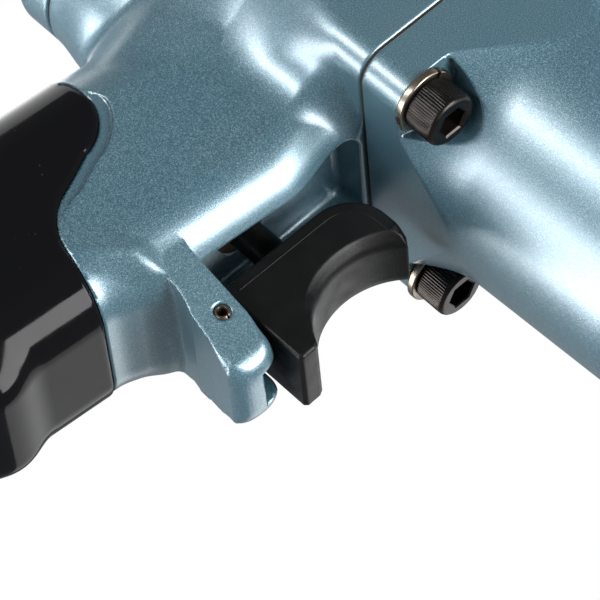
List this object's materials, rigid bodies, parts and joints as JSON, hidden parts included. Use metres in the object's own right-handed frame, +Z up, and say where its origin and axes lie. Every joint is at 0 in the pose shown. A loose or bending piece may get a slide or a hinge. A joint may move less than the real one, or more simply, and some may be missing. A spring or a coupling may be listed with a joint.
{
  "type": "air impact wrench",
  "caption": "Pistol-grip pneumatic impact wrench: painted motor housing, round hammer case, square drive, sliding trigger over a guard hook, black grip sleeve and bottom air inlet.",
  "frame": {"origin": "on the drive axis, in the plane of the square drive's shoulder, where a socket seats", "axes": "+X forward along the drive axis, +Z up away from the handle, +Y to the user's left"},
  "size_m": [0.1845, 0.062, 0.2057],
  "materials": {
    "housing_paint": "aluminium casting under metallic teal-blue enamel",
    "grip_black": "glossy black moulded grip sleeve",
    "trigger_black": "fine spark-eroded matte black moulding",
    "knob_black": "matte black moulding",
    "black_oxide": "black oxide on hardened steel",
    "steel": "ground and plain machined steel",
    "dark_steel": "hardened steel with a dark temper colour",
    "bright_steel": "polished steel",
    "spring_steel": "tempered spring steel with a light bronze tint",
    "brass": "turned brass and sintered bronze",
    "aluminium": "machined aluminium",
    "iron": "honed cast iron",
    "seal_rubber": "nitrile rubber",
    "gasket": "pressed fibre gasket sheet",
    "vane": "cloth-laminated phenolic",
    "felt": "sintered felt silencer"
  },
  "bodies": {
    "housing": {"motor_housing": "housing_paint", "hammer_case": "housing_paint", "back_cap": "housing_paint", "front_gasket": "gasket", "rear_gasket": "gasket", "case_screws": "black_oxide", "spring_washers": "spring_steel", "cap_screws": "black_oxide", "front_bush": "brass", "front_end_plate": "iron", "rear_end_plate": "iron", "front_bearing": "bright_steel", "rear_bearing": "bright_steel", "cylinder_liner": "iron", "liner_dowel": "steel", "detent_ball": "bright_steel", "detent_spring": "spring_steel", "trigger_bush": "brass", "stem_seal": "seal_rubber", "trigger_pin": "spring_steel", "valve_seat": "brass", "throttle_spring": "spring_steel", "grip_sleeve": "grip_black", "inlet_bushing": "steel", "inlet_strainer": "brass", "deflector_seal": "seal_rubber", "exhaust_silencer": "felt"},
    "rotor_group": {"rotor": "steel", "rotor_vanes": "vane", "hammer_cage": "steel", "hammer_pins": "bright_steel"},
    "rear_hammer": {"rear_hammer": "dark_steel"},
    "front_hammer": {"front_hammer": "dark_steel"},
    "anvil_group": {"anvil": "dark_steel", "friction_ring": "bright_steel", "friction_ring_cushion": "seal_rubber"},
    "reverse_group": {"reverse_valve": "aluminium", "reverse_knob": "knob_black", "knob_screw": "black_oxide"},
    "trigger_group": {"trigger": "trigger_black", "trigger_stem": "black_oxide"},
    "throttle_valve": {"throttle_valve": "steel"},
    "deflector": {"exhaust_deflector": "knob_black"}
  },
  "joints": [
    {"name": "rotor_spin", "type": "hinge", "parent": "housing", "child": "rotor_group", "pos_m": [-0.08, 0, 0], "axis": [1, 0, 0], "continuous": true},
    {"name": "rear_hammer_rock", "type": "hinge", "parent": "rotor_group", "child": "rear_hammer", "pos_m": [-0.06, 0.0204, 0], "axis": [1, 0, 0], "range_deg": [-4, 4]},
    {"name": "front_hammer_rock", "type": "hinge", "parent": "rotor_group", "child": "front_hammer", "pos_m": [-0.044, -0.0204, 0], "axis": [1, 0, 0], "range_deg": [-4, 4]},
    {"name": "anvil_spin", "type": "hinge", "parent": "housing", "child": "anvil_group", "pos_m": [-0.02, 0, 0], "axis": [1, 0, 0], "continuous": true},
    {"name": "trigger_slide", "type": "slide", "parent": "housing", "child": "trigger_group", "axis": [-1, 0, 0], "range_m": [0, 0.0045], "stiffness_N_per_m": 2500, "springref_m": -0.003},
    {"name": "throttle_tilt", "type": "hinge", "parent": "housing", "child": "throttle_valve", "pos_m": [-0.09792, 0, -0.07087], "axis": [0, -1, 0], "range_deg": [0, 15], "deforming": ["throttle_spring"]},
    {"name": "reverse_turn", "type": "hinge", "parent": "housing", "child": "reverse_group", "pos_m": [-0.156, 0, -0.036], "axis": [1, 0, 0], "range_deg": [-40, 40]},
    {"name": "deflector_swivel", "type": "hinge", "parent": "housing", "child": "deflector", "pos_m": [-0.11289, 0, -0.16161], "axis": [-0.0872, 0, -0.9962], "range_deg": [-120, 120]}
  ],
  "couplings": [
    {"joint": "anvil_spin", "follows": "rotor_spin", "ratio": 1},
    {"joint": "throttle_tilt", "follows": "trigger_slide", "rad_per_m": 58.177}
  ]
}
